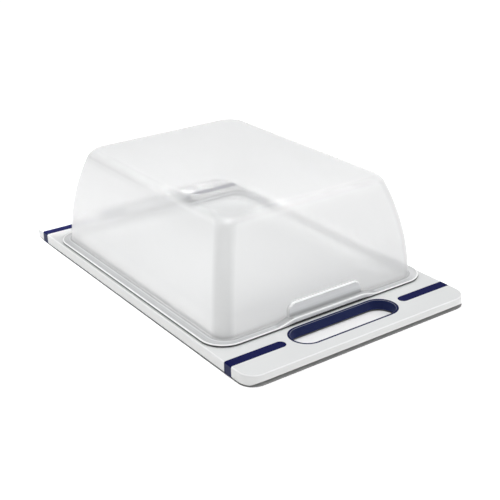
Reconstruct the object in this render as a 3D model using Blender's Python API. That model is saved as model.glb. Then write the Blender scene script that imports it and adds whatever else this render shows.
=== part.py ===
"""Serving board with a loose dome cover: white board, navy soft grips and hand-slot liners, frosted dome.

Units are metres. +X is the long axis, +Y the short axis and +Z up. The origin is on the surface that the
board stands on, under its middle. The soft edge grips stand slightly proud underneath and are the feet.
"""

import math

import bmesh
import bpy

MM = 0.001
GAP = 0.3 * MM

# Board
BOARD_LENGTH = 398 * MM
BOARD_WIDTH = 242 * MM
BOARD_TOP = 10.6 * MM
BOARD_BOTTOM = 1.0 * MM
BOARD_CORNER = 15 * MM
BOARD_TOP_EDGE = 1.6 * MM
BOARD_BOTTOM_EDGE = 0.5 * MM
END_BEVEL_RUN = 5 * MM
END_BEVEL_RISE = 2.8 * MM

# Hand slots, one through each end of the board, with a soft liner in each
SLOT_X = 169.5 * MM
SLOT_WIDTH = 33.8 * MM
SLOT_LENGTH = 115 * MM
LINER_WALL = 2.3 * MM
LINER_RIM = 0.6 * MM

# Edge grips: soft strips in line with the slots, wrapped round the long edges of the board
GRIP_WIDTH = 10 * MM
GRIP_INNER_Y = 63.5 * MM
GRIP_DEPTH = 1.6 * MM
GRIP_SPARE = 8 * MM
CUTTER_REACH = 6 * MM
STRIP_REACH = 20 * MM

# Dome cover
FLANGE_LENGTH = 301 * MM
FLANGE_WIDTH = 237.4 * MM
FLANGE_CORNER = 23.7 * MM
FLANGE_THICKNESS = 1.9 * MM
FLANGE_EDGE = 0.7 * MM
DOME_BASE_LENGTH = 284.6 * MM
DOME_BASE_WIDTH = 217.6 * MM
DOME_CORNER = 15.6 * MM
DOME_SEAT = BOARD_TOP + GAP
DOME_TOP = 110.2 * MM
DOME_WALL = 1.8 * MM
WALL_ARC = 266 * MM
WALL_BASE_LEAN = math.radians(0.6)
TOP_FILLET = 12.8 * MM
TOP_CROWN = 0.8 * MM
JUNCTION_FILLET = 2 * MM

# Finger lift at each end of the dome: a shallow boss over a raised lip
BOSS_HALF_WIDTH = 41 * MM
BOSS_TOP = 29.4 * MM
BOSS_CORNER = 9 * MM
BOSS_DEPTH = 3.2 * MM
BOSS_LEDGE = 1.6 * MM
LIP_FULL_HALF_WIDTH = 36 * MM
LIP_END_HALF_WIDTH = 57 * MM
LIP_RISE = 1.9 * MM
LIP_EXTRA_THICKNESS = 1.7 * MM
LIP_NOTCH_SLOPE = 0.8 * MM
LIP_SHARE_UP_FILLET = (0.7, 0.9, 1.0)

# Mesh density
CORNER_STEPS = 6
ARC_STEPS = 4
EDGE_STEPS = 3
WALL_STEPS = 6
ROUND_END = 0.999
CROWN_SHARES = (0.75, 0.35)
FLAT_SHARES = (0.0, 0.4, 0.75, 0.93, 1.0)
LIP_END_SHARES = (0.15, 0.45, 0.72, 1.0)
BOSS_CORNER_SHARES = (0.0, 0.3, 0.58)
SHARP_ANGLE = math.radians(32)

END_NAMES = (("near", 1), ("far", -1))
SIDE_NAMES = (("left", -1), ("right", 1))


def clear_scene():
    for obj in list(bpy.data.objects):
        bpy.data.objects.remove(obj)


def plastic(name, colour, roughness, transmission=0.0):
    """A moulded plastic with the sub-part's own colour."""
    material = bpy.data.materials.new(name)
    material.use_nodes = True
    shader = material.node_tree.nodes["Principled BSDF"]
    shader.inputs["Base Color"].default_value = (*colour, 1.0)
    shader.inputs["Roughness"].default_value = roughness
    shader.inputs["Metallic"].default_value = 0.0
    shader.inputs["Transmission Weight"].default_value = transmission
    return material


def add_object(name, bm, material=None):
    """Turns a bmesh into a smooth-shaded object in the scene."""
    bmesh.ops.recalc_face_normals(bm, faces=bm.faces)
    mesh = bpy.data.meshes.new(name)
    bm.to_mesh(mesh)
    bm.free()
    mesh.shade_smooth()
    mesh.set_sharp_from_angle(angle=SHARP_ANGLE)
    obj = bpy.data.objects.new(name, mesh)
    bpy.context.scene.collection.objects.link(obj)
    if material:
        mesh.materials.append(material)
    return obj


def as_cutter(obj):
    obj.hide_render = True
    obj.display_type = "WIRE"
    return obj


def add_boolean(obj, name, other, operation):
    modifier = obj.modifiers.new(name, "BOOLEAN")
    modifier.operation = operation
    modifier.solver = "EXACT"
    modifier.object = other


def outline(half_x, half_y, radius, x_stations=(0.0,), y_stations=(0.0,)):
    """A rounded rectangle as (x, y) points, anticlockwise from its +X side.

    The straight sides have a point at each station, and each corner is an arc of CORNER_STEPS segments.
    """
    sides = (
        [(half_x, y) for y in sorted(y_stations)],
        [(x, half_y) for x in sorted(x_stations, reverse=True)],
        [(-half_x, y) for y in sorted(y_stations, reverse=True)],
        [(x, -half_y) for x in sorted(x_stations)],
    )
    signs = ((1, 1), (-1, 1), (-1, -1), (1, -1))
    points = []
    for corner, (side, (sx, sy)) in enumerate(zip(sides, signs)):
        points += side
        for step in range(CORNER_STEPS + 1):
            angle = (corner + step / CORNER_STEPS) * math.pi / 2
            x = sx * (half_x - radius) + radius * math.cos(angle)
            y = sy * (half_y - radius) + radius * math.sin(angle)
            points.append((x, y))
    return points


def loft(rows, closed_loop=False):
    """A bmesh skin through rows of equal length. Its ends are capped unless the rows close on themselves."""
    bm = bmesh.new()
    rings = [[bm.verts.new(point) for point in row] for row in rows]
    pairs = list(zip(rings, rings[1:]))
    if closed_loop:
        pairs.append((rings[-1], rings[0]))
    for low, high in pairs:
        count = len(low)
        for i in range(count):
            j = (i + 1) % count
            bm.faces.new((low[i], low[j], high[j], high[i]))
    if not closed_loop:
        bm.faces.new(rings[0])
        bm.faces.new(rings[-1])
    return bm


def at_height(points, z, dx=0.0):
    return [(x + dx, y, z) for x, y in points]


def quarter(radius, steps=ARC_STEPS):
    """(inset, drop) pairs along a quarter circle, from the flat face to the side face."""
    angles = [math.pi / 2 * (1 - step / steps) for step in range(steps + 1)]
    return [(radius * (1 - math.cos(a)), radius * (1 - math.sin(a))) for a in angles]


def slot_outline(grow=0.0):
    """The outline of a hand slot about its own centre."""
    half_x = SLOT_WIDTH / 2 + grow
    return outline(half_x, SLOT_LENGTH / 2 + grow, half_x * ROUND_END)


def make_board(material):
    half_x = BOARD_LENGTH / 2
    half_y = BOARD_WIDTH / 2
    rows = []
    for inset, rise in quarter(BOARD_BOTTOM_EDGE, EDGE_STEPS - 1):
        points = outline(half_x - inset, half_y - inset, BOARD_CORNER - inset)
        rows.append(at_height(points, BOARD_BOTTOM + rise))
    for inset, drop in reversed(quarter(BOARD_TOP_EDGE, EDGE_STEPS)):
        points = outline(half_x - inset, half_y - inset, BOARD_CORNER - inset)
        rows.append(at_height(points, BOARD_TOP - drop))
    return add_object("board", loft(rows), material)


def make_bevel_cutter(end, sign):
    """A wedge that bevels the underside of one end, so that fingers get under the board."""
    inner_x = BOARD_LENGTH / 2 - 2 * END_BEVEL_RUN
    outer_x = BOARD_LENGTH / 2 + END_BEVEL_RUN
    low_z = BOARD_BOTTOM - END_BEVEL_RISE
    high_z = BOARD_BOTTOM + 2 * END_BEVEL_RISE
    wedge = ((inner_x, low_z), (outer_x, low_z), (outer_x, high_z))
    reach_y = BOARD_WIDTH / 2 + CUTTER_REACH
    rows = [[(sign * x, y, z) for x, z in wedge] for y in (-reach_y, reach_y)]
    return as_cutter(add_object(f"bevel_cutter_{end}", loft(rows)))


def make_slot_cutter(end, sign):
    points = slot_outline()
    heights = (-CUTTER_REACH, BOARD_TOP + CUTTER_REACH)
    rows = [at_height(points, z, sign * SLOT_X) for z in heights]
    return as_cutter(add_object(f"slot_cutter_{end}", loft(rows)))


def make_liner(end, sign, material):
    """A soft ring that lines a hand slot, with rounded rims at the top and the bottom."""
    outer = -GAP
    inner = outer - LINER_WALL
    arc = quarter(LINER_RIM, EDGE_STEPS)
    section = [(outer, BOARD_BOTTOM), (outer, BOARD_TOP)]
    section += [(inner + inset, BOARD_TOP - drop) for inset, drop in arc]
    section += [(inner + inset, BOARD_BOTTOM + rise) for inset, rise in reversed(arc)]
    rows = [at_height(slot_outline(grow), z, sign * SLOT_X) for grow, z in section]
    return add_object(f"slot_liner_{end}", loft(rows, closed_loop=True), material)


def grip_section(grow, reach):
    """The C-shaped section of an edge grip, as (y, z) points on the +Y side.

    A grip lies flush with the board's top and side. A cutter reaches past them, and is larger by grow.
    """
    side = BOARD_WIDTH / 2
    inner_y = GRIP_INNER_Y - GRIP_SPARE
    arm_top = BOARD_TOP - GRIP_DEPTH - grow
    arm_bottom = BOARD_BOTTOM + GRIP_DEPTH + grow
    points = [(inner_y, BOARD_TOP + reach)]
    if reach:
        points += [(side + reach, BOARD_TOP + reach), (side + reach, -reach)]
    else:
        points += [(side - i, BOARD_TOP - d) for i, d in quarter(BOARD_TOP_EDGE, EDGE_STEPS)]
        points += [(side - i, r) for i, r in reversed(quarter(BOARD_BOTTOM_EDGE, EDGE_STEPS))]
    points.append((inner_y, -reach))
    points += [(inner_y, arm_bottom), (side - GRIP_DEPTH - grow, arm_bottom)]
    points += [(side - GRIP_DEPTH - grow, arm_top), (inner_y, arm_top)]
    return points


def make_grip_shape(name, x, side_sign, grow, reach, material=None):
    """An edge grip or its cutter: the C section along X, trimmed to a strip with a round inner end."""
    half = GRIP_WIDTH / 2 + grow
    bm = bmesh.new()
    section = grip_section(grow, reach)
    ends = []
    for end_x in (x - half - GRIP_SPARE, x + half + GRIP_SPARE):
        ends.append([bm.verts.new((end_x, side_sign * y, z)) for y, z in section])
    count = len(section)
    for i in range(count):
        j = (i + 1) % count
        bm.faces.new((ends[0][i], ends[0][j], ends[1][j], ends[1][i]))
    bm.faces.new(ends[0])
    bm.faces.new(ends[1])
    shape = add_object(name, bm, material)

    inner_y = GRIP_INNER_Y - grow
    outer_y = BOARD_WIDTH / 2 + STRIP_REACH
    middle_y = side_sign * (inner_y + outer_y) / 2
    points = outline(half, (outer_y - inner_y) / 2, half * ROUND_END)
    strip = [(px + x, py + middle_y) for px, py in points]
    rows = [at_height(strip, z) for z in (-STRIP_REACH, BOARD_TOP + STRIP_REACH)]
    trimmer = as_cutter(add_object(f"{name}_strip", loft(rows)))
    add_boolean(shape, "trim to strip", trimmer, "INTERSECT")
    return shape


def smoothstep(low, high, value):
    t = min(max((value - low) / (high - low), 0.0), 1.0)
    return t * t * (3 - 2 * t)


def boss_half_width(z, shrink):
    """Half the width of the boss's outline at height z. shrink pulls the outline in."""
    above = min(max(z - (BOSS_TOP - shrink - BOSS_CORNER), 0.0), BOSS_CORNER)
    bulge = math.sqrt(BOSS_CORNER**2 - above**2)
    return BOSS_HALF_WIDTH - shrink - BOSS_CORNER + bulge


def boss_share(y, z, shrink):
    """1 on the finger-lift boss, 0 off it, with a short ledge between."""
    reach_y = abs(y) - (BOSS_HALF_WIDTH - shrink - BOSS_CORNER)
    reach_z = z - (BOSS_TOP - shrink - BOSS_CORNER)
    if reach_y > 0 and reach_z > 0:
        outside = math.hypot(reach_y, reach_z) - BOSS_CORNER
    else:
        outside = max(reach_y, reach_z) - BOSS_CORNER
    return smoothstep(0.0, BOSS_LEDGE, -outside)


def lip_share(y):
    """1 on the raised lip, falling smoothly to 0 where the flange lies flat on the board."""
    return smoothstep(LIP_END_HALF_WIDTH, LIP_FULL_HALF_WIDTH, abs(y))


def end_stations(z, shrink):
    """The y stations of an end wall: they follow the boss's outline, then the lip's fall to the flange."""
    edge = boss_half_width(z, shrink)
    flat = edge - BOSS_LEDGE
    half = [share * flat for share in FLAT_SHARES] + [edge - BOSS_LEDGE / 2, edge]
    fall = LIP_END_HALF_WIDTH - BOSS_HALF_WIDTH
    half += [BOSS_HALF_WIDTH + share * fall for share in LIP_END_SHARES]
    return sorted(set(half) | {-y for y in half})


def dome_row(half_x, half_y, radius, z, boss_shrink=0.0, boss=True, lift=0.0):
    """One ring of the dome. Its ends step out over the boss, and rise by lift along the finger lip."""
    row = []
    for x, y in outline(half_x, half_y, radius, (0.0,), end_stations(z, boss_shrink)):
        on_end = abs(y) < LIP_END_HALF_WIDTH + GAP and abs(x) > half_x - GAP
        raised = z + lift * lip_share(y) if on_end else z
        if on_end and boss:
            x += math.copysign(BOSS_DEPTH * boss_share(y, z, boss_shrink), x)
        row.append((x, y, raised))
    return row


def ledge_heights(shrink):
    """Heights above the seat that follow the boss: up its sides, round its corners and over its ledge."""
    top = BOSS_TOP - shrink - DOME_SEAT
    corner = top - BOSS_CORNER
    sides = [corner + share * BOSS_CORNER for share in BOSS_CORNER_SHARES]
    return sides + [top - BOSS_LEDGE, top - BOSS_LEDGE / 2, top]


def wall_profile(low_heights):
    """(inset, height, lean) up the wall: one large arc, then the fillet into the top."""
    rise = DOME_TOP - DOME_SEAT
    base_sine = math.sin(WALL_BASE_LEAN)
    knee_sine = (base_sine + (rise - TOP_FILLET) / WALL_ARC) / (1 - TOP_FILLET / WALL_ARC)
    knee = math.asin(knee_sine)
    knee_height = WALL_ARC * (knee_sine - base_sine)
    step_up = (knee_height - low_heights[-1]) / WALL_STEPS
    heights = list(low_heights) + [knee_height - step_up * step for step in range(WALL_STEPS)][::-1]
    profile = []
    for height in heights:
        lean = math.asin(height / WALL_ARC + base_sine)
        profile.append((WALL_ARC * (math.cos(WALL_BASE_LEAN) - math.cos(lean)), height, lean))
    knee_inset = profile[-1][0]
    for step in range(1, ARC_STEPS + 2):
        lean = knee + (math.pi / 2 - knee) * step / (ARC_STEPS + 1)
        inset = knee_inset + TOP_FILLET * (math.cos(knee) - math.cos(lean))
        height = knee_height + TOP_FILLET * (math.sin(lean) - knee_sine)
        profile.append((inset, height, lean))
    return profile


def wall_rows(thickness):
    """The rings of the outer skin, or of the inner skin where thickness is the wall's."""
    rows = []
    for inset, height, lean in wall_profile(ledge_heights(thickness)):
        inset += thickness * math.cos(lean)
        z = DOME_SEAT + height - thickness * math.sin(lean)
        half_x = DOME_BASE_LENGTH / 2 - inset
        half_y = DOME_BASE_WIDTH / 2 - inset
        radius = DOME_CORNER - thickness * math.cos(lean)
        rows.append(dome_row(half_x, half_y, radius, z, thickness))
    edge = rows[-1]
    for share in CROWN_SHARES:
        crown = TOP_CROWN * (1 - share * share)
        rows.append([(x * share, y * share, z + crown) for x, y, z in edge])
    return rows


def flange_row(inset, z, lift):
    half_x = FLANGE_LENGTH / 2 - inset
    half_y = FLANGE_WIDTH / 2 - inset
    return dome_row(half_x, half_y, FLANGE_CORNER - inset, z, 0.0, False, lift)


def foot_row(outset, z, lift, shrink=0.0):
    """A ring round the foot of the wall, outset from it onto the flange."""
    half_x = DOME_BASE_LENGTH / 2 + outset
    half_y = DOME_BASE_WIDTH / 2 + outset
    return dome_row(half_x, half_y, DOME_CORNER + outset, z, shrink, True, lift)


def make_dome(material):
    """One closed shell: outer skin down from the top, round the flange, and up the inner skin."""
    flange_top = DOME_SEAT + FLANGE_THICKNESS
    lip_lift = LIP_RISE + LIP_EXTRA_THICKNESS
    edge = quarter(FLANGE_EDGE, EDGE_STEPS - 1)
    foot = reversed(quarter(JUNCTION_FILLET, EDGE_STEPS - 1))
    rows = list(reversed(wall_rows(0.0)))
    for (outset, rise), share in zip(foot, LIP_SHARE_UP_FILLET):
        rows.append(foot_row(outset, flange_top + rise, lip_lift * share))
    for inset, drop in edge:
        rows.append(flange_row(inset, flange_top - drop, lip_lift))
    for inset, rise in reversed(edge):
        rows.append(flange_row(inset, DOME_SEAT + rise, LIP_RISE))
    rows.append(foot_row(LIP_NOTCH_SLOPE, DOME_SEAT, LIP_RISE))
    rows.append(foot_row(0.0, DOME_SEAT, 0.0))
    rows.append(foot_row(-DOME_WALL, DOME_SEAT, 0.0, DOME_WALL))
    rows += wall_rows(DOME_WALL)
    return add_object("dome_cover", loft(rows), material)


def main():
    clear_scene()
    white = plastic("board_white", (0.78, 0.79, 0.79), 0.42)
    board = make_board(white)
    for end, sign in END_NAMES:
        add_boolean(board, f"bevel {end}", make_bevel_cutter(end, sign), "DIFFERENCE")
        add_boolean(board, f"slot {end}", make_slot_cutter(end, sign), "DIFFERENCE")
        liner_navy = plastic(f"liner_navy_{end}", (0.032, 0.030, 0.115), 0.5)
        make_liner(end, sign, liner_navy)
        for side, side_sign in SIDE_NAMES:
            where = f"{end}_{side}"
            x = sign * SLOT_X
            cutter = make_grip_shape(f"grip_cutter_{where}", x, side_sign, GAP, CUTTER_REACH)
            add_boolean(board, f"grip {where}", as_cutter(cutter), "DIFFERENCE")
            grip_navy = plastic(f"grip_navy_{where}", (0.040, 0.038, 0.135), 0.5)
            make_grip_shape(f"edge_grip_{where}", x, side_sign, 0.0, 0.0, grip_navy)
    frosted = plastic("dome_frosted", (0.93, 0.94, 0.95), 0.22, 0.8)
    make_dome(frosted)


main()
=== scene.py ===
"""Looks of the covered serving board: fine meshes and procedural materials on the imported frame.

Units are metres, in the frame's own axes: +X along the board, +Y across it, +Z up.
"""

import math

import bmesh
import bpy
from mathutils import Matrix, Vector


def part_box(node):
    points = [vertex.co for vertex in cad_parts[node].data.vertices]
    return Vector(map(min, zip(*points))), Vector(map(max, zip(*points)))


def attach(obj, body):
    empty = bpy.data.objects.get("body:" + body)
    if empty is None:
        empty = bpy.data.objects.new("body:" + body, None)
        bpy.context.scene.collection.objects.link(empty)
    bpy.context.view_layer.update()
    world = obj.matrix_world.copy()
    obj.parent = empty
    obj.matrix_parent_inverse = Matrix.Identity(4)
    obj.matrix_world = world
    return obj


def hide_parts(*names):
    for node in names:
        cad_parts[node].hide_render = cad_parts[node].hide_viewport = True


MM = 0.001

# Board and soft inserts
BOARD_CORNER = 15 * MM
BOARD_TOP_EDGE = 1.6 * MM
BOARD_BOTTOM_EDGE = 0.5 * MM
END_BEVEL_RUN = 5 * MM
END_BEVEL_RISE = 2.8 * MM
SEAM = 0.05 * MM
BOARD_SOFT_EDGE = 0.35 * MM
LINER_SOFT_EDGE = 0.12 * MM
GRIP_SOFT_EDGE = 0.15 * MM
LINER_WALL = 2.3 * MM
LINER_RIM = 0.6 * MM
GRIP_DEPTH = 1.6 * MM
GRIP_SPARE = 8 * MM
CUTTER_REACH = 6 * MM
STRIP_REACH = 20 * MM

# Dome cover
FLANGE_CORNER = 23.7 * MM
FLANGE_THICKNESS = 1.9 * MM
FLANGE_EDGE = 0.7 * MM
DOME_BASE_LENGTH = 284.6 * MM
DOME_BASE_WIDTH = 217.6 * MM
DOME_CORNER = 15.6 * MM
DOME_WALL = 1.8 * MM
WALL_ARC = 266 * MM
WALL_BASE_LEAN = math.radians(0.6)
TOP_FILLET = 12.8 * MM
TOP_CROWN = 0.8 * MM
JUNCTION_FILLET = 2 * MM

# Finger lift at each end of the dome
BOSS_HALF_WIDTH = 41 * MM
BOSS_RISE = 18.5 * MM
BOSS_CORNER = 9 * MM
BOSS_DEPTH = 3.2 * MM
BOSS_LEDGE = 1.6 * MM
LIP_FULL_HALF_WIDTH = 36 * MM
LIP_END_HALF_WIDTH = 57 * MM
LIP_RISE = 1.9 * MM
LIP_EXTRA_THICKNESS = 1.7 * MM
LIP_NOTCH_DEPTH = 1.3 * MM
LIP_NOTCH_FOOT = 0.3 * MM
LIP_SHARE_AT_WALL = 0.7

# Mesh density
CORNER_STEPS = 16
ARC_STEPS = 10
EDGE_STEPS = 6
FOOT_STEPS = 5
WALL_STEPS = 16
SIDE_STEPS = 8
FLAT_STEPS = 10
LEDGE_STEPS = 5
LIP_END_STEPS = 12
CROWN_STEPS = 8
ROUND_END = 0.999
LIP_END_MARGIN = 1.0 * MM
END_PLANE_MARGIN = 0.1 * MM
SHARP_ANGLE = math.radians(32)

# Finishes: mottle is noise scale and detail, and grain is noise scale and bump strength
BOARD_MOTTLE = (9, 2)
NAVY_MOTTLE = (40, 3)
DOME_MOTTLE = (14, 3)
BOARD_GRAIN = (2600, 0.2)
NAVY_GRAIN = (3200, 0.25)
DOME_GRAIN = (3000, 0.05)
GRAIN_DEPTH = 0.05 * MM
BOARD_ROUGHNESS = (0.36, 0.46)
NAVY_ROUGHNESS = (0.30, 0.38)
DOME_ROUGHNESS = (0.285, 0.32)
LINING_ROUGHNESS = (0.26, 0.29)
FLOOR_ROUGHNESS = 0.9
BOARD_IOR = 1.46
DOME_IOR = 1.5

# Colours, and greys that cool() turns into colours
BOARD_DARK = (0.70, 0.71, 0.71)
BOARD_LIGHT = (0.725, 0.735, 0.735)
# Painted highlight on the board's rounded edges
BOARD_PAINTED_EDGE_HIGHLIGHT = (0.93, 0.935, 0.94)
# Painted light on the board's side faces
BOARD_PAINTED_SIDE_LIGHT = (0.80, 0.805, 0.80)
# Painted highlight colour for the rounded edges of the navy parts
NAVY_PAINTED_RIM_HIGHLIGHT = (0.62, 0.64, 0.74)
# Each navy: two mottle tones, painted light on side faces, specular level, and how far rounded edges pale
# as a painted highlight
GRIP_NAVY = {"dark": (0.003, 0.005, 0.060), "light": (0.005, 0.007, 0.068),
             "painted_side_light": (0.034, 0.038, 0.096), "shine": 0.03, "painted_rim_highlight": 0.0}
LINER_NAVY = {"dark": (0.003, 0.007, 0.052), "light": (0.005, 0.009, 0.060),
              "painted_side_light": (0.018, 0.028, 0.110), "shine": 0.06, "painted_rim_highlight": 0.45}
# Painted light on the flange at the far end and right side
FLANGE_PAINTED_LIGHT = (0.86, 0.865, 0.875)
# Painted shadow under the flange's edge and under the finger lip
FLANGE_PAINTED_SHADOW = (0.02, 0.021, 0.023)
# Painted light low on the dome's walls
DOME_PAINTED_LOW_LIGHT = (0.985, 0.985, 0.985)
DOME_GREYS = (0.88, 0.90)
LINING_GREYS = (0.88, 0.89)
# Painted shade on the dome's top, corners and far fillets
DOME_PAINTED_TOP_SHADE = 0.555
DOME_PAINTED_CORNER_SHADE = 0.68
FAR_FILLET_PAINTED_SHADE = 0.62
# Painted highlight on the flange's edge and the boss's ledge
PAINTED_HIGHLIGHT_GREY = 0.97
LINING_FOOT_GREY = 0.95

# Greys of painted light and shade at steps in millimetres: up the boss's face from the lip, out across the
# flange from the dome's foot, and up the inside of the foot from the seat
FACE_PAINTED_SHADE = ((0.0, 0.43), (0.4, 0.42), (0.9, 0.42), (1.8, 0.50), (3.2, 0.68), (4.1, 0.84), (6.6, 0.92),
               (8.6, 0.84), (12.6, 0.75))
FLANGE_PAINTED_LINES = ((-0.1, 0.70), (1.6, 0.66), (2.8, 0.82), (4.0, 0.62), (5.2, 0.72), (6.4, 0.62), (7.9, 0.72))
FOOT_PAINTED_SHADE_LINES = ((0.1, 0.20), (0.9, 0.20), (1.1, 0.98), (3.3, 0.98), (3.5, 0.10))

# Bands on the dome over which a tint of painted light or shade comes in: along X, along Y, above the floor,
# and above the seat
FAR_END_BAND = (-128 * MM, -140 * MM)
FAR_FILLET_BAND = (50 * MM, -30 * MM)
RIGHT_SIDE_BAND = (95 * MM, 107 * MM)
LOW_WALL_BAND = (34 * MM, 15 * MM)
FOOT_BAND = (4.1 * MM, 4.4 * MM)

# Opacity from square on to edge on, its share on top and from behind, and the least in each zone
DOME_OPACITY = (0.78, 0.96)
LINING_OPACITY = (0.06, 0.20)
LINING_FOOT_OPACITY = 0.9
TOP_SHARE = 0.58
BEHIND_SHARE = 0.25
# The under zone holds the painted shadow and is solid
ZONE_OPACITY = {"flange": 0.66, "face": 0.92, "ledge": 0.95, "edge": 0.95, "under": 1.0}

# Camera
CAMERA_PLACE = Vector((0.7471, -0.4992, 0.4141))
CAMERA_AZIMUTH = math.radians(55.13)
CAMERA_ELEVATION = math.radians(23.85)
CAMERA_ROLL = math.radians(-1.24)
CAMERA_LENS = 72.19
CAMERA_SENSOR = 36.0

# Floor patches as grey and glow, and the sky's strength. The patches under the board and in the slots are
# painted shade.
STUDIO_FLOOR = (0.94, 0.34)
FLOOR_PAINTED_SHADE = (0.40, 0.0)
SLOT_FLOOR_PAINTED_SHADE = (0.72, 0.18)
FLOOR_REACH = 8.0
FLOOR_LAYER = 0.02 * MM
FLOOR_SHADE_MARGIN = 0.4 * MM
SKY_AT_HORIZON = 0.23
SKY_OVERHEAD = 0.45

# Lamps as name, place, size and watts. The softboxes face the origin.
SOFTBOXES = (
    ("overhead", (-0.15, -0.05, 2.3), (0.5, 0.5), 25),
    ("back_left", (-1.65, -0.98, 1.05), (1.0, 1.0), 7),
    ("back_right", (0.94, 1.25, 1.78), (1.4, 1.4), 10),
    ("front_right", (1.68, 1.2, 1.02), (0.7, 0.7), 2),
    ("back", (-0.8, 1.84, 0.97), (1.6, 1.6), 3),
)
# Narrow beams straight down on the board's far and right edges
EDGE_BEAMS = (
    ("far_edge", (-0.187, -0.02, 0.6), (0.03, 0.26), 0.042),
    ("right_edge", (-0.04, 0.118, 0.6), (0.22, 0.012), 0.02),
)
EDGE_BEAM_SPREAD = math.radians(6)
# Faint lamps inside the dome, with their spread. They face down and move with it.
FOOT_SPREAD = math.radians(50)
DOME_LAMPS = (
    ("inside", (-0.01, 0, 0.088), (0.19, 0.13), 0.1, math.pi),
    ("foot_far", (-0.125, 0, 0.06), (0.012, 0.19), 0.006, FOOT_SPREAD),
    ("foot_near", (0.125, 0, 0.06), (0.012, 0.19), 0.003, FOOT_SPREAD),
    ("foot_left", (0, -0.093, 0.06), (0.25, 0.012), 0.004, FOOT_SPREAD),
    ("foot_right", (0, 0.093, 0.06), (0.25, 0.012), 0.007, FOOT_SPREAD),
)

ENDS = (("near", 1), ("far", -1))
SIDES = (("left", -1), ("right", 1))


# ---------------------------------------------------------------- meshes

def outline(half_x, half_y, radius, x_stations=(0.0,), y_stations=(0.0,)):
    """A rounded rectangle as (x, y) points, anticlockwise from its +X side."""
    sides = (
        [(half_x, y) for y in sorted(y_stations)],
        [(x, half_y) for x in sorted(x_stations, reverse=True)],
        [(-half_x, y) for y in sorted(y_stations, reverse=True)],
        [(x, -half_y) for x in sorted(x_stations)],
    )
    signs = ((1, 1), (-1, 1), (-1, -1), (1, -1))
    points = []
    for corner, (side, (sx, sy)) in enumerate(zip(sides, signs)):
        points += side
        for step in range(CORNER_STEPS + 1):
            angle = (corner + step / CORNER_STEPS) * math.pi / 2
            x = sx * (half_x - radius) + radius * math.cos(angle)
            y = sy * (half_y - radius) + radius * math.sin(angle)
            points.append((x, y))
    return points


def loft(rows, closed_loop=False):
    """A bmesh skin through rows of equal length, capped unless the rows close on themselves."""
    bm = bmesh.new()
    rings = [[bm.verts.new(point) for point in row] for row in rows]
    pairs = list(zip(rings, rings[1:]))
    if closed_loop:
        pairs.append((rings[-1], rings[0]))
    for low, high in pairs:
        count = len(low)
        for i in range(count):
            j = (i + 1) % count
            bm.faces.new((low[i], low[j], high[j], high[i]))
    if not closed_loop:
        bm.faces.new(rings[0])
        bm.faces.new(rings[-1])
    bm.verts.index_update()
    return bm


def at_height(points, z, dx=0.0, dy=0.0):
    return [(x + dx, y + dy, z) for x, y in points]


def quarter(radius, steps):
    """(inset, drop) pairs along a quarter circle, from the flat face to the side face."""
    angles = [math.pi / 2 * (1 - step / steps) for step in range(steps + 1)]
    return [(radius * (1 - math.cos(a)), radius * (1 - math.sin(a))) for a in angles]


def add_object(name, bm):
    """Turns a bmesh into a smooth-shaded object in the scene."""
    bmesh.ops.recalc_face_normals(bm, faces=bm.faces)
    mesh = bpy.data.meshes.new(name)
    bm.to_mesh(mesh)
    bm.free()
    mesh.shade_smooth()
    mesh.set_sharp_from_angle(angle=SHARP_ANGLE)
    obj = bpy.data.objects.new(name, mesh)
    bpy.context.scene.collection.objects.link(obj)
    return obj


def cut(obj, other, operation="DIFFERENCE"):
    """Applies a Boolean with other, and removes other."""
    modifier = obj.modifiers.new("cut", "BOOLEAN")
    modifier.operation = operation
    modifier.solver = "EXACT"
    modifier.object = other
    graph = bpy.context.evaluated_depsgraph_get()
    mesh = bpy.data.meshes.new_from_object(obj.evaluated_get(graph), depsgraph=graph)
    obj.modifiers.clear()
    obj.data = mesh
    bpy.data.objects.remove(other)


def soften(obj, width):
    """A fine bevel on the sharp edges, with flat faces kept flat in the shading."""
    bevel = obj.modifiers.new("edge", "BEVEL")
    bevel.width = width
    bevel.segments = 2
    bevel.limit_method = "ANGLE"
    bevel.angle_limit = SHARP_ANGLE
    weighted = obj.modifiers.new("normals", "WEIGHTED_NORMAL")
    weighted.keep_sharp = True


def slot_outline(box, grow):
    """The outline of a hand slot about its own centre, from the liner's box."""
    half_x = (box[1].x - box[0].x) / 2 + grow
    half_y = (box[1].y - box[0].y) / 2 + grow
    return outline(half_x, half_y, half_x * ROUND_END)


def centre_of(box):
    return (box[0] + box[1]) / 2


# ---------------------------------------------------------------- board, liners and grips

def bevel_cutter(low, high, sign):
    """A wedge under one end of the board."""
    inner_x = high.x - 2 * END_BEVEL_RUN
    outer_x = high.x + END_BEVEL_RUN
    wedge = ((inner_x, low.z - END_BEVEL_RISE), (outer_x, low.z - END_BEVEL_RISE),
             (outer_x, low.z + 2 * END_BEVEL_RISE))
    reach_y = high.y + CUTTER_REACH
    rows = [[(sign * x, y, z) for x, z in wedge] for y in (-reach_y, reach_y)]
    return add_object("cutter", loft(rows))


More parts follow.
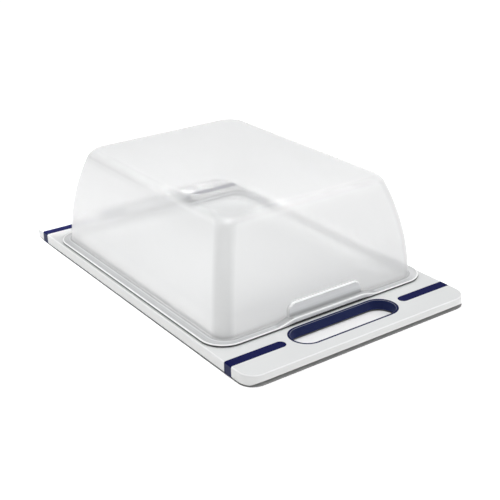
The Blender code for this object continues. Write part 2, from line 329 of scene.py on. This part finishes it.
def make_board():
    low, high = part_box("board")
    half_x = high.x
    half_y = high.y
    rows = []
    for inset, rise in quarter(BOARD_BOTTOM_EDGE, EDGE_STEPS):
        points = outline(half_x - inset, half_y - inset, BOARD_CORNER - inset)
        rows.append(at_height(points, low.z + rise))
    for inset, drop in reversed(quarter(BOARD_TOP_EDGE, EDGE_STEPS)):
        points = outline(half_x - inset, half_y - inset, BOARD_CORNER - inset)
        rows.append(at_height(points, high.z - drop))
    board = add_object("board_skin", loft(rows))
    for end, sign in ENDS:
        cut(board, bevel_cutter(low, high, sign))
        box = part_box(f"slot_liner_{end}")
        points = slot_outline(box, SEAM)
        middle = centre_of(box)
        heights = (low.z - CUTTER_REACH, high.z + CUTTER_REACH)
        rows = [at_height(points, z, middle.x) for z in heights]
        cut(board, add_object("cutter", loft(rows)))
        for side, side_sign in SIDES:
            grip_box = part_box(f"edge_grip_{end}_{side}")
            cut(board, grip_shape("cutter", grip_box, side_sign, SEAM, CUTTER_REACH))
    board.data.shade_smooth()
    board.data.set_sharp_from_angle(angle=SHARP_ANGLE)
    soften(board, BOARD_SOFT_EDGE)
    return board


def make_liner(end):
    """A soft ring that lines a hand slot, with rounded rims at the top and the bottom."""
    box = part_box(f"slot_liner_{end}")
    low, high = box
    middle = centre_of(box)
    arc = quarter(LINER_RIM, EDGE_STEPS)
    section = [(0.0, low.z), (0.0, high.z)]
    section += [(inset - LINER_WALL, high.z - drop) for inset, drop in arc]
    section += [(inset - LINER_WALL, low.z + rise) for inset, rise in reversed(arc)]
    rows = [at_height(slot_outline(box, grow), z, middle.x) for grow, z in section]
    liner = add_object(f"liner_skin_{end}", loft(rows, closed_loop=True))
    soften(liner, LINER_SOFT_EDGE)
    return liner


def grip_section(box, grow, reach):
    """The C-shaped section of an edge grip, as (y, z) points on the +Y side."""
    low, high = box
    side = max(abs(low.y), abs(high.y))
    inner_y = min(abs(low.y), abs(high.y)) - GRIP_SPARE
    arm_top = high.z - GRIP_DEPTH - grow
    arm_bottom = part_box("board")[0].z + GRIP_DEPTH + grow
    points = [(inner_y, high.z + reach)]
    if reach:
        points += [(side + reach, high.z + reach), (side + reach, low.z - reach)]
    else:
        points += [(side - i, high.z - d) for i, d in quarter(BOARD_TOP_EDGE, EDGE_STEPS)]
        points += [(side - i, low.z + r) for i, r in reversed(quarter(BOARD_BOTTOM_EDGE, EDGE_STEPS))]
    points.append((inner_y, low.z - reach))
    points += [(inner_y, arm_bottom), (side - GRIP_DEPTH - grow, arm_bottom)]
    points += [(side - GRIP_DEPTH - grow, arm_top), (inner_y, arm_top)]
    return points


def grip_shape(name, box, side_sign, grow, reach):
    """An edge grip or its cutter: the C section along X, trimmed to a strip with a round inner end."""
    low, high = box
    middle = centre_of(box)
    half = (high.x - low.x) / 2 + grow
    rows = []
    for x in (middle.x - half - GRIP_SPARE, middle.x + half + GRIP_SPARE):
        rows.append([(x, side_sign * y, z) for y, z in grip_section(box, grow, reach)])
    shape = add_object(name, loft(rows))
    inner_y = min(abs(low.y), abs(high.y)) - grow
    outer_y = max(abs(low.y), abs(high.y)) + STRIP_REACH
    points = outline(half, (outer_y - inner_y) / 2, half * ROUND_END)
    middle_y = side_sign * (inner_y + outer_y) / 2
    heights = (low.z - STRIP_REACH, high.z + STRIP_REACH)
    strip = [at_height(points, z, middle.x, middle_y) for z in heights]
    cut(shape, add_object("strip", loft(strip)), "INTERSECT")
    return shape


def make_grip(end, side, side_sign):
    grip = grip_shape(f"grip_skin_{end}_{side}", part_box(f"edge_grip_{end}_{side}"), side_sign, 0.0, 0.0)
    grip.data.shade_smooth()
    grip.data.set_sharp_from_angle(angle=SHARP_ANGLE)
    soften(grip, GRIP_SOFT_EDGE)
    return grip


# ---------------------------------------------------------------- dome cover

def smoothstep(low, high, value):
    t = min(max((value - low) / (high - low), 0.0), 1.0)
    return t * t * (3 - 2 * t)


class Dome:
    """The dome's shell as rings: down the outer skin, round the flange and up the inner skin."""

    def __init__(self, low, high):
        self.seat = low.z
        self.top = high.z - TOP_CROWN
        self.flange_half = (high.x, high.y)
        self.boss_top = self.seat + BOSS_RISE

    def boss_half_width(self, z, shrink):
        above = min(max(z - (self.boss_top - shrink - BOSS_CORNER), 0.0), BOSS_CORNER)
        bulge = math.sqrt(BOSS_CORNER**2 - above**2)
        return BOSS_HALF_WIDTH - shrink - BOSS_CORNER + bulge

    def boss_share(self, y, z, shrink):
        """1 on the finger-lift boss, 0 off it, with a short ledge between."""
        reach_y = abs(y) - (BOSS_HALF_WIDTH - shrink - BOSS_CORNER)
        reach_z = z - (self.boss_top - shrink - BOSS_CORNER)
        if reach_y > 0 and reach_z > 0:
            outside = math.hypot(reach_y, reach_z) - BOSS_CORNER
        else:
            outside = max(reach_y, reach_z) - BOSS_CORNER
        return smoothstep(0.0, BOSS_LEDGE, -outside)

    def end_stations(self, z, shrink):
        """The y stations of an end wall: the flat of the boss, its ledge, then the lip's fall."""
        edge = self.boss_half_width(z, shrink)
        flat = edge - BOSS_LEDGE
        half = [flat * math.sin(math.pi / 2 * k / FLAT_STEPS) for k in range(FLAT_STEPS + 1)]
        half += [flat + BOSS_LEDGE * k / LEDGE_STEPS for k in range(1, LEDGE_STEPS + 1)]
        fall = LIP_END_HALF_WIDTH - BOSS_HALF_WIDTH
        half += [BOSS_HALF_WIDTH + fall * k / LIP_END_STEPS for k in range(1, LIP_END_STEPS + 1)]
        return sorted(set(half) | {-y for y in half})

    def row(self, half_x, half_y, radius, z, shrink=0.0, boss=True, lift=0.0):
        """One ring. Its ends step out over the boss, and rise by lift along the finger lip."""
        points = []
        for x, y in outline(half_x, half_y, radius, (0.0,), self.end_stations(z, shrink)):
            on_end = abs(y) < LIP_END_HALF_WIDTH + LIP_END_MARGIN and abs(x) > half_x - END_PLANE_MARGIN
            share = smoothstep(LIP_END_HALF_WIDTH, LIP_FULL_HALF_WIDTH, abs(y)) if on_end else 0.0
            if on_end and boss:
                x += math.copysign(BOSS_DEPTH * self.boss_share(y, z, shrink), x)
            points.append((x, y, z + lift * share))
        return points

    def low_heights(self, shrink):
        """Heights above the seat that follow the boss: up its sides, round its corners, over its ledge."""
        top = self.boss_top - shrink - self.seat
        corner = top - BOSS_CORNER
        flat = BOSS_CORNER - BOSS_LEDGE
        sides = [corner + flat * k / SIDE_STEPS for k in range(SIDE_STEPS + 1)]
        return sides + [top - BOSS_LEDGE * (1 - k / LEDGE_STEPS) for k in range(1, LEDGE_STEPS + 1)]

    def profile(self, shrink):
        """(inset, height, lean) up the wall: one large arc, then the fillet into the top."""
        rise = self.top - self.seat
        base_sine = math.sin(WALL_BASE_LEAN)
        knee_sine = (base_sine + (rise - TOP_FILLET) / WALL_ARC) / (1 - TOP_FILLET / WALL_ARC)
        knee = math.asin(knee_sine)
        knee_height = WALL_ARC * (knee_sine - base_sine)
        heights = self.low_heights(shrink)
        step_up = (knee_height - heights[-1]) / WALL_STEPS
        heights += [knee_height - step_up * k for k in range(WALL_STEPS)][::-1]
        points = []
        for height in heights:
            lean = math.asin(height / WALL_ARC + base_sine)
            points.append((WALL_ARC * (math.cos(WALL_BASE_LEAN) - math.cos(lean)), height, lean))
        knee_inset = points[-1][0]
        for k in range(1, ARC_STEPS + 1):
            lean = knee + (math.pi / 2 - knee) * k / ARC_STEPS
            inset = knee_inset + TOP_FILLET * (math.cos(knee) - math.cos(lean))
            points.append((inset, knee_height + TOP_FILLET * (math.sin(lean) - knee_sine), lean))
        return points

    def wall(self, thickness):
        """The rings of the outer skin, or of the inner skin where thickness is the wall's."""
        rows = []
        for inset, height, lean in self.profile(thickness):
            inset += thickness * math.cos(lean)
            z = self.seat + height - thickness * math.sin(lean)
            half_x = DOME_BASE_LENGTH / 2 - inset
            half_y = DOME_BASE_WIDTH / 2 - inset
            rows.append(self.row(half_x, half_y, DOME_CORNER - thickness * math.cos(lean), z, thickness))
        edge = rows[-1]
        for k in range(1, CROWN_STEPS):
            share = 1 - k / CROWN_STEPS
            crown = TOP_CROWN * (1 - share * share)
            rows.append([(x * share, y * share, z + crown) for x, y, z in edge])
        return rows

    def flange(self, inset, z, lift):
        half_x, half_y = self.flange_half
        return self.row(half_x - inset, half_y - inset, FLANGE_CORNER - inset, z, 0.0, False, lift)

    def foot(self, outset, z, lift, shrink=0.0):
        """A ring round the foot of the wall, outset from it onto the flange."""
        half_x = DOME_BASE_LENGTH / 2 + outset
        half_y = DOME_BASE_WIDTH / 2 + outset
        return self.row(half_x, half_y, DOME_CORNER + outset, z, shrink, True, lift)

    def rows(self):
        flange_top = self.seat + FLANGE_THICKNESS
        lip_lift = LIP_RISE + LIP_EXTRA_THICKNESS
        edge = quarter(FLANGE_EDGE, EDGE_STEPS)
        rows = list(reversed(self.wall(0.0)))
        for step, (outset, rise) in enumerate(reversed(quarter(JUNCTION_FILLET, FOOT_STEPS))):
            share = LIP_SHARE_AT_WALL + (1 - LIP_SHARE_AT_WALL) * smoothstep(0, FOOT_STEPS, step)
            rows.append(self.foot(outset, flange_top + rise, lip_lift * share))
        rows += [self.flange(inset, flange_top - drop, lip_lift) for inset, drop in edge]
        rows += [self.flange(inset, self.seat + rise, LIP_RISE) for inset, rise in reversed(edge)]
        rows.append(self.flange(LIP_NOTCH_DEPTH, self.seat, LIP_RISE))
        rows.append(self.flange(LIP_NOTCH_FOOT, self.seat, 0.0))
        rows.append(self.foot(-DOME_WALL, self.seat, 0.0, DOME_WALL))
        return rows + self.wall(DOME_WALL)


def make_dome():
    """The dome's skin. Its first material is outside and on the flange, and its second is inside."""
    dome = Dome(*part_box("dome_cover"))
    rows = dome.rows()
    bm = loft(rows)
    inner_rows = len(dome.wall(DOME_WALL))
    first_inner = (len(rows) - inner_rows - 1) * len(rows[0])
    for face in bm.faces:
        face.material_index = int(min(vert.index for vert in face.verts) >= first_inner)
    return add_object("dome_skin", bm)


# ---------------------------------------------------------------- materials

def cool(grey):
    """A grey with a slight cool cast."""
    return (grey, grey + 0.005, grey + 0.01)


class Nodes:
    """A material's node tree, with short calls that add and link nodes."""

    def __init__(self, name):
        self.material = bpy.data.materials.new(name)
        self.material.use_nodes = True
        self.tree = self.material.node_tree
        self.shader = self.tree.nodes["Principled BSDF"]
        self.output = self.tree.nodes["Material Output"]
        coordinates = self.add("ShaderNodeTexCoord")
        self.place = coordinates.outputs["Object"]
        self.normal = coordinates.outputs["Normal"]

    def add(self, kind, **values):
        node = self.tree.nodes.new(kind)
        for key, value in values.items():
            setattr(node, key, value)
        return node

    def link(self, source, target):
        self.tree.links.new(source, target)

    def noise(self, scale, detail=3.0, roughness=0.5):
        node = self.add("ShaderNodeTexNoise")
        node.inputs["Scale"].default_value = scale
        node.inputs["Detail"].default_value = detail
        node.inputs["Roughness"].default_value = roughness
        self.link(self.place, node.inputs["Vector"])
        return node.outputs["Fac"]

    def remap(self, source, low, high, new_low, new_high):
        """new_low where source is low, new_high where it is high, and in proportion between them."""
        node = self.add("ShaderNodeMapRange")
        sockets = ("From Min", "From Max", "To Min", "To Max")
        for socket, value in zip(sockets, (low, high, new_low, new_high)):
            node.inputs[socket].default_value = value
        self.link(source, node.inputs["Value"])
        return node.outputs["Result"]

    def mask(self, source, low, high):
        """0 where source is low and 1 where it is high. low may be the larger value."""
        return self.remap(source, low, high, 0, 1)

    def maths(self, operation, first, second):
        node = self.add("ShaderNodeMath", operation=operation)
        for socket, value in zip(node.inputs, (first, second)):
            if isinstance(value, (int, float)):
                socket.default_value = value
            else:
                self.link(value, socket)
        return node.outputs["Value"]

    def both(self, first, *others):
        """The product of masks."""
        for other in others:
            first = self.maths("MULTIPLY", first, other)
        return first

    def either(self, first, second):
        """The larger of two masks."""
        return self.maths("MAXIMUM", first, second)

    def signed(self, vector, name):
        """One component of a vector."""
        node = self.add("ShaderNodeSeparateXYZ")
        self.link(vector, node.inputs["Vector"])
        return node.outputs[name]

    def axis(self, vector, name):
        """The size of one component of a vector."""
        return self.maths("ABSOLUTE", self.signed(vector, name), 0.0)

    def spread(self, corner_x, corner_y):
        """How far the surface is outside the box that reaches to the corner, seen from above."""
        vector = self.place
        for operation, values in (("ABSOLUTE", None), ("SUBTRACT", (corner_x, corner_y, 0)),
                                  ("MAXIMUM", (0, 0, 0)), ("MULTIPLY", (1, 1, 0))):
            node = self.add("ShaderNodeVectorMath", operation=operation)
            self.link(vector, node.inputs[0])
            if values:
                node.inputs[1].default_value = values
            vector = node.outputs["Vector"]
        node = self.add("ShaderNodeVectorMath", operation="LENGTH")
        self.link(vector, node.inputs[0])
        return node.outputs["Value"]

    def ramp(self, source, start, stops):
        """Cool greys that follow source, from stops of (millimetres past start, grey)."""
        first, last = stops[0][0], stops[-1][0]
        node = self.add("ShaderNodeValToRGB")
        elements = node.color_ramp.elements
        while len(elements) < len(stops):
            elements.new(0.5)
        for element, (past, grey) in zip(elements, stops):
            element.position = (past - first) / (last - first)
            element.color = (grey, grey * 1.015, grey * 1.03, 1)
        self.link(self.mask(source, start + first * MM, start + last * MM), node.inputs["Fac"])
        return node.outputs["Color"]

    def tint(self, share, first, second):
        """A colour between first and second, each a colour or another tint."""
        node = self.add("ShaderNodeMix", data_type="RGBA")
        self.link(share, node.inputs["Factor"])
        for socket, value in zip((node.inputs[6], node.inputs[7]), (first, second)):
            if isinstance(value, tuple):
                socket.default_value = (*value, 1)
            else:
                self.link(value, socket)
        return node.outputs[2]

    def grain(self, scale, strength):
        """A bump of very fine grain."""
        node = self.add("ShaderNodeBump")
        node.inputs["Strength"].default_value = strength
        node.inputs["Distance"].default_value = GRAIN_DEPTH
        self.link(self.noise(scale, 2, 0.6), node.inputs["Height"])
        self.link(node.outputs["Normal"], self.shader.inputs["Normal"])

    def finish(self, colour, roughness):
        self.link(colour, self.shader.inputs["Base Color"])
        self.link(roughness, self.shader.inputs["Roughness"])

    def see_through(self, opacity):
        """Lets what is behind show through where opacity is below 1."""
        clear = self.add("ShaderNodeBsdfTransparent")
        mix = self.add("ShaderNodeMixShader")
        self.link(opacity, mix.inputs["Fac"])
        self.link(clear.outputs["BSDF"], mix.inputs[1])
        self.link(self.shader.outputs["BSDF"], mix.inputs[2])
        self.link(mix.outputs["Shader"], self.output.inputs["Surface"])

    def facing(self):
        """0 where the surface is seen square on, and 1 where it is seen edge on."""
        weight = self.add("ShaderNodeLayerWeight")
        weight.inputs["Blend"].default_value = 0.5
        return weight.outputs["Facing"]


def board_material():
    """Matt white moulding: fine grain, slow shifts of tone and gloss, rounded edges paler as a painted
    highlight, and side faces lighter as painted light.
    """
    n = Nodes("board_white")
    slow = n.noise(*BOARD_MOTTLE)
    up = n.axis(n.normal, "Z")
    skin = n.tint(n.mask(slow, 0.2, 0.8), BOARD_DARK, BOARD_LIGHT)
    # Painted highlight: the rounded edges are paler
    skin = n.tint(n.mask(up, 0.98, 0.85), skin, BOARD_PAINTED_EDGE_HIGHLIGHT)
    # Painted light: the side faces are lighter
    skin = n.tint(n.mask(up, 0.6, 0.2), skin, BOARD_PAINTED_SIDE_LIGHT)
    n.finish(skin, n.remap(slow, 0.3, 0.7, *BOARD_ROUGHNESS))
    n.grain(*BOARD_GRAIN)
    n.shader.inputs["IOR"].default_value = BOARD_IOR
    return n.material


def navy_material(name, dark, light, painted_side_light, shine, painted_rim_highlight):
    """Soft-touch navy: satin, with a fine pebble and slow shifts of tone. Side faces get painted light, and
    the last argument sets how far the rounded edges pale as a painted highlight.
    """
    n = Nodes(name)
    slow = n.noise(*NAVY_MOTTLE)
    up = n.axis(n.normal, "Z")
    skin = n.tint(n.mask(slow, 0.35, 0.65), dark, light)
    # Painted light: the side faces are lighter
    skin = n.tint(n.mask(up, 0.5, 0.2), skin, painted_side_light)
    # Painted highlight on the rounded edges
    rounded = n.both(n.remap(up, 0.25, 0.45, 0, painted_rim_highlight), n.mask(up, 0.95, 0.75))
    n.finish(n.tint(rounded, skin, NAVY_PAINTED_RIM_HIGHLIGHT), n.remap(slow, 0.3, 0.7, *NAVY_ROUGHNESS))
    n.grain(*NAVY_GRAIN)
    n.shader.inputs["Specular IOR Level"].default_value = shine
    return n.material


def back_side(n):
    """1 on the dome's far end and right side, and 0 on the near end and left side: where the flange gets
    painted light and the lining's foot gets painted shade lines.
    """
    right = n.mask(n.signed(n.place, "Y"), *RIGHT_SIDE_BAND)
    return n.either(right, n.mask(n.signed(n.place, "X"), *FAR_END_BAND))


def lip_top():
    """The height of the finger lip's top face."""
    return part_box("dome_cover")[0].z + FLANGE_THICKNESS + LIP_RISE + LIP_EXTRA_THICKNESS


def dome_zones(n):
    """Masks of the dome's outside: flange, bright edge as a painted highlight, dark underside as a painted
    shadow, boss face for painted shade, and boss ledge for a painted highlight.
    """
    low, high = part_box("dome_cover")
    flange_top = low.z + FLANGE_THICKNESS
    lip_under = low.z + LIP_RISE
    wall_foot = DOME_BASE_LENGTH / 2
    boss_face = wall_foot + BOSS_DEPTH
    boss_foot = boss_face + JUNCTION_FILLET
    tilt = n.signed(n.normal, "Z")
    up = n.axis(n.normal, "Z")
    height = n.signed(n.place, "Z")
    along = n.axis(n.place, "X")
    from_rim = n.spread(high.x - FLANGE_CORNER, high.y - FLANGE_CORNER)

    flange = n.either(n.mask(height, flange_top + 0.4 * MM, flange_top),
                      n.mask(along, boss_foot + 0.1 * MM, boss_foot + 0.5 * MM))
    edge = n.mask(from_rim, FLANGE_CORNER - 2.3 * FLANGE_EDGE, FLANGE_CORNER - 1.9 * FLANGE_EDGE)
    # Painted shadow under the flange's edge
    painted_shadow_under_edge = n.both(edge, n.mask(height, flange_top - 0.4 * MM, flange_top - 0.8 * MM))
    # Painted shadow under the finger lip
    painted_shadow_under_lip = n.both(n.mask(up, 0.7, 0.55),
                       n.mask(height, lip_under + 0.6 * MM, lip_under + 0.4 * MM),
                       n.mask(along, boss_face - 1.5 * MM, boss_face - 1.1 * MM),
                       n.mask(from_rim, FLANGE_CORNER - 0.8 * FLANGE_EDGE, FLANGE_CORNER - FLANGE_EDGE))
    face = n.both(n.mask(along, boss_face - 1.2 * MM, boss_face - 0.6 * MM),
                  n.mask(height, lip_top() - 0.4 * MM, lip_top()))
    ledge = n.both(n.mask(along, wall_foot + 0.2 * MM, wall_foot + 0.7 * MM),
                   n.mask(tilt, 0.3, 0.6),
                   n.mask(height, lip_top() + 1.6 * MM, lip_top() + 2.6 * MM))
    under = n.either(painted_shadow_under_edge, painted_shadow_under_lip)
    return {"flange": flange, "edge": edge, "under": under, "face": face, "ledge": ledge}


def dome_colour(n, slow, zones):
    """Milky white, greyer on top, on the corners and on the far fillets as painted shade, whiter low on the
    walls as painted light, with a tint of painted light or shade in each zone.
    """
    up = n.axis(n.normal, "Z")
    height = n.signed(n.place, "Z")
    skin = n.tint(n.mask(slow, 0.2, 0.8), *map(cool, DOME_GREYS))
    # Painted light: the walls are whiter toward their foot
    skin = n.tint(n.mask(height, *LOW_WALL_BAND), skin, DOME_PAINTED_LOW_LIGHT)
    # Painted shade: the top is greyer
    skin = n.tint(n.mask(up, 0.5, 0.95), skin, cool(DOME_PAINTED_TOP_SHADE))
    # Painted shade: the corners are greyer
    corner = n.both(n.axis(n.normal, "X"), n.axis(n.normal, "Y"))
    skin = n.tint(n.remap(corner, 0.08, 0.36, 0, 0.75), skin, cool(DOME_PAINTED_CORNER_SHADE))
    # Painted shade: the fillets toward the far end are greyer
    far_fillet_painted_shade = n.both(n.mask(up, 0.33, 0.5), n.mask(up, 0.97, 0.8),
                        n.remap(n.signed(n.place, "X"), *FAR_FILLET_BAND, 0, 0.75))
    skin = n.tint(far_fillet_painted_shade, skin, cool(FAR_FILLET_PAINTED_SHADE))

    # Painted shade on the boss's face, darkest just above the lip
    skin = n.tint(zones["face"], skin, n.ramp(height, lip_top(), FACE_PAINTED_SHADE))
    # Painted highlight on the boss's ledge
    skin = n.tint(zones["ledge"], skin, cool(PAINTED_HIGHLIGHT_GREY))
    # Painted light and shade lines across the flange, paler at the far end and right side
    from_foot = n.spread(DOME_BASE_LENGTH / 2 - DOME_CORNER, DOME_BASE_WIDTH / 2 - DOME_CORNER)
    flange_painted_lines = n.ramp(from_foot, DOME_CORNER, FLANGE_PAINTED_LINES)
    skin = n.tint(zones["flange"], skin, n.tint(back_side(n), flange_painted_lines, FLANGE_PAINTED_LIGHT))
    # Painted highlight on the flange's edge
    skin = n.tint(zones["edge"], skin, cool(PAINTED_HIGHLIGHT_GREY))
    # Painted shadow under the flange's edge and the lip
    return n.tint(zones["under"], skin, FLANGE_PAINTED_SHADOW)


def dome_opacity(n, zones):
    """Milkier where it is seen edge on, clearer on top and from behind, and nearly solid in the zones."""
    behind = n.add("ShaderNodeNewGeometry").outputs["Backfacing"]
    opacity = n.both(n.remap(n.facing(), 0.45, 1.0, *DOME_OPACITY),
                     n.remap(n.axis(n.normal, "Z"), 0.6, 0.95, 1.0, TOP_SHARE),
                     n.remap(behind, 0, 1, 1.0, BEHIND_SHARE))
    for name, least in ZONE_OPACITY.items():
        opacity = n.either(opacity, n.both(zones[name], least))
    return opacity


def dome_material():
    """Frosted outside: milky and satin, with a very fine grain."""
    n = Nodes("dome_frosted")
    slow = n.noise(*DOME_MOTTLE)
    zones = dome_zones(n)
    n.finish(dome_colour(n, slow, zones), n.remap(slow, 0.2, 0.8, *DOME_ROUGHNESS))
    n.grain(*DOME_GRAIN)
    n.shader.inputs["IOR"].default_value = DOME_IOR
    n.see_through(dome_opacity(n, zones))
    return n.material


def dome_lining():
    """Polished inside: nearly clear, with fine dark lines of painted shade on the foot at the far end and
    right side.
    """
    n = Nodes("dome_lining")
    slow = n.noise(*DOME_MOTTLE)
    height = n.signed(n.place, "Z")
    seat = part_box("dome_cover")[0].z
    foot_band = [seat + rise for rise in FOOT_BAND]
    # Painted shade lines on the foot at the far end and right side, and a plain near-white foot elsewhere
    foot = n.tint(back_side(n), cool(LINING_FOOT_GREY), n.ramp(height, seat, FOOT_PAINTED_SHADE_LINES))
    skin = n.tint(n.mask(slow, 0.2, 0.8), *map(cool, LINING_GREYS))
    skin = n.tint(n.mask(height, *foot_band), foot, skin)
    n.finish(skin, n.remap(slow, 0.2, 0.8, *LINING_ROUGHNESS))
    n.shader.inputs["IOR"].default_value = DOME_IOR
    veil = n.remap(n.facing(), 0.0, 1.0, *LINING_OPACITY)
    n.see_through(n.either(veil, n.remap(height, *foot_band, LINING_FOOT_OPACITY, 0)))
    return n.material


def floor_material(name, grey, glow):
    """A pale matt floor that lifts its own soft shadows by glow."""
    n = Nodes(name)
    n.shader.inputs["Base Color"].default_value = (grey, grey, grey, 1)
    n.shader.inputs["Roughness"].default_value = FLOOR_ROUGHNESS
    n.shader.inputs["Emission Color"].default_value = (1, 1, 1, 1)
    n.shader.inputs["Emission Strength"].default_value = glow
    return n.material


# ---------------------------------------------------------------- studio

def add_camera():
    """The camera that the fit to the photo gave."""
    data = bpy.data.cameras.new("camera")
    data.lens = CAMERA_LENS
    data.sensor_width = CAMERA_SENSOR
    camera = bpy.data.objects.new("camera", data)
    bpy.context.scene.collection.objects.link(camera)
    around = math.cos(CAMERA_ELEVATION)
    back = Vector((math.sin(CAMERA_AZIMUTH) * around, -math.cos(CAMERA_AZIMUTH) * around,
                   math.sin(CAMERA_ELEVATION)))
    turn = (-back).to_track_quat("-Z", "Y").to_matrix().to_4x4()
    camera.matrix_world = Matrix.Translation(CAMERA_PLACE) @ turn @ Matrix.Rotation(CAMERA_ROLL, 4, "Z")
    bpy.context.scene.camera = camera


def add_lamp(name, place, size, power, aim=(0, 0, 0), spread=math.pi):
    """A rectangular area lamp at place that faces aim."""
    data = bpy.data.lights.new(name, "AREA")
    data.shape = "RECTANGLE"
    data.size, data.size_y = size
    data.energy = power
    data.spread = spread
    lamp = bpy.data.objects.new(name, data)
    bpy.context.scene.collection.objects.link(lamp)
    lamp.location = place
    lamp.rotation_euler = (Vector(aim) - Vector(place)).to_track_quat("-Z", "Y").to_euler()
    lamp.visible_camera = False
    return lamp


def add_lamps():
    """Softboxes round the set, beams on two edges of the board, and lamps that ride with the dome."""
    for name, place, size, power in SOFTBOXES:
        add_lamp(name, place, size, power)
    for name, (x, y, z), size, power in EDGE_BEAMS:
        add_lamp(name, (x, y, z), size, power, (x, y, 0), EDGE_BEAM_SPREAD)
    for name, (x, y, z), size, power, spread in DOME_LAMPS:
        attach(add_lamp(name, (x, y, z), size, power, (x, y, 0), spread), "dome")


def add_world():
    """A plain sky that is brighter overhead, with a white backdrop where the camera sees it."""
    world = bpy.data.worlds.new("studio")
    bpy.context.scene.world = world
    world.use_nodes = True
    tree = world.node_tree
    split = tree.nodes.new("ShaderNodeSeparateXYZ")
    tree.links.new(tree.nodes.new("ShaderNodeTexCoord").outputs["Generated"], split.inputs["Vector"])
    fade = tree.nodes.new("ShaderNodeMapRange")
    fade.inputs["To Min"].default_value = SKY_AT_HORIZON
    fade.inputs["To Max"].default_value = SKY_OVERHEAD
    tree.links.new(split.outputs["Z"], fade.inputs["Value"])
    backdrop = tree.nodes.new("ShaderNodeMapRange")
    tree.links.new(tree.nodes.new("ShaderNodeLightPath").outputs["Is Camera Ray"], backdrop.inputs["Value"])
    tree.links.new(fade.outputs["Result"], backdrop.inputs["To Min"])
    backdrop.inputs["To Max"].default_value = 1.0
    sky = tree.nodes["Background"]
    sky.inputs["Color"].default_value = (1, 1, 1, 1)
    tree.links.new(backdrop.outputs["Result"], sky.inputs["Strength"])


def add_patch(name, points, z, material, x=0.0):
    """One flat piece of floor, which isn't part of the object."""
    bm = bmesh.new()
    bm.faces.new([bm.verts.new(point) for point in at_height(points, z, x)])
    patch = add_object(name, bm)
    patch.data.materials.append(material)


def add_floor():
    """A wide pale floor: darker under the board as painted shade, for its thin foot line, and softly grey
    in the slots as painted shade.
    """
    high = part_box("board")[1]
    wide = [(FLOOR_REACH * x, FLOOR_REACH * y) for x, y in outline(1, 1, 0.5)]
    add_patch("floor", wide, 0.0, floor_material("studio_floor", *STUDIO_FLOOR))
    # Painted shade under the board
    shaded = outline(high.x, high.y + FLOOR_SHADE_MARGIN, BOARD_CORNER)
    add_patch("floor_under_board", shaded, FLOOR_LAYER, floor_material("painted_shade_floor", *FLOOR_PAINTED_SHADE))
    # Painted shade on the floor in the slots
    slot_painted_shade_floor = floor_material("slot_painted_shade_floor", *SLOT_FLOOR_PAINTED_SHADE)
    for end, _ in ENDS:
        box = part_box(f"slot_liner_{end}")
        points = slot_outline(box, -LINER_WALL)
        add_patch(f"floor_in_slot_{end}", points, 2 * FLOOR_LAYER, slot_painted_shade_floor, centre_of(box).x)


def add_studio():
    add_camera()
    add_floor()
    add_world()
    add_lamps()


# ---------------------------------------------------------------- assembly

def place(piece, body, node, slot, material):
    piece.data.materials.append(material)
    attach(piece, body)
    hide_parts(node)


def main():
    bpy.context.scene.view_settings.view_transform = "Standard"
    place(make_board(), "tray", "board", "board_white", board_material())
    grip_navy = navy_material("grip_navy", **GRIP_NAVY)
    liner_navy = navy_material("liner_navy", **LINER_NAVY)
    for end, _ in ENDS:
        place(make_liner(end), "tray", f"slot_liner_{end}", "soft_navy", liner_navy)
        for side, side_sign in SIDES:
            grip = make_grip(end, side, side_sign)
            place(grip, "tray", f"edge_grip_{end}_{side}", "soft_navy", grip_navy)
    dome = make_dome()
    place(dome, "dome", "dome_cover", "dome_frosted", dome_material())
    dome.data.materials.append(dome_lining())
    add_studio()


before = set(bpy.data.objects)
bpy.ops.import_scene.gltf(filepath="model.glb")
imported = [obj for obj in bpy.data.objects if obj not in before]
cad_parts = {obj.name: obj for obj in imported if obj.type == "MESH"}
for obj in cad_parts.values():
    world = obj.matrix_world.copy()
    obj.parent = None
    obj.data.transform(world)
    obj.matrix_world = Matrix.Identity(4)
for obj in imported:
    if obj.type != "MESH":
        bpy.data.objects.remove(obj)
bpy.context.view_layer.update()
main()
